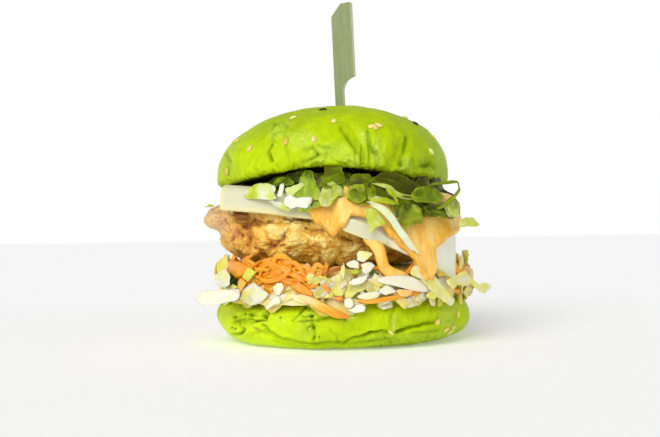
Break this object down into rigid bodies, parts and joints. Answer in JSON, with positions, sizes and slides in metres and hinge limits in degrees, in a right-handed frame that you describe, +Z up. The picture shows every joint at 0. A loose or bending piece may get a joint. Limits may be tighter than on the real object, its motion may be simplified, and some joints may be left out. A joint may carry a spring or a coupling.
{
  "type": "chicken burger",
  "caption": "Chicken burger: green sesame bun round fried chicken, cheese, sauce, slaw and lettuce, stacked tall and held by a flat bamboo pick",
  "frame": {"origin": "the middle of the heel's flat base, on the surface that the burger stands on", "axes": "+Z up through the stack, along the pick; the front, where the cheese, sauce and strips hang out, faces -Y"},
  "size_m": [0.1337, 0.12, 0.1562],
  "materials": {
    "bun": "soft baked skin",
    "seed": "dry",
    "cabbage": "moist",
    "carrot": "moist",
    "crust": "rough fried crust",
    "cheese": "smooth",
    "sauce": "glossy",
    "lettuce": "moist",
    "bamboo": "sanded"
  },
  "bodies": {
    "root": {"bun_heel": "bun", "bun_crown": "bun", "slaw": "cabbage", "chicken": "crust", "cheese_left": "cheese", "cheese_right": "cheese", "sauce": "sauce", "lettuce": "lettuce", "bamboo_pick": "bamboo"}
  },
  "joints": []
}
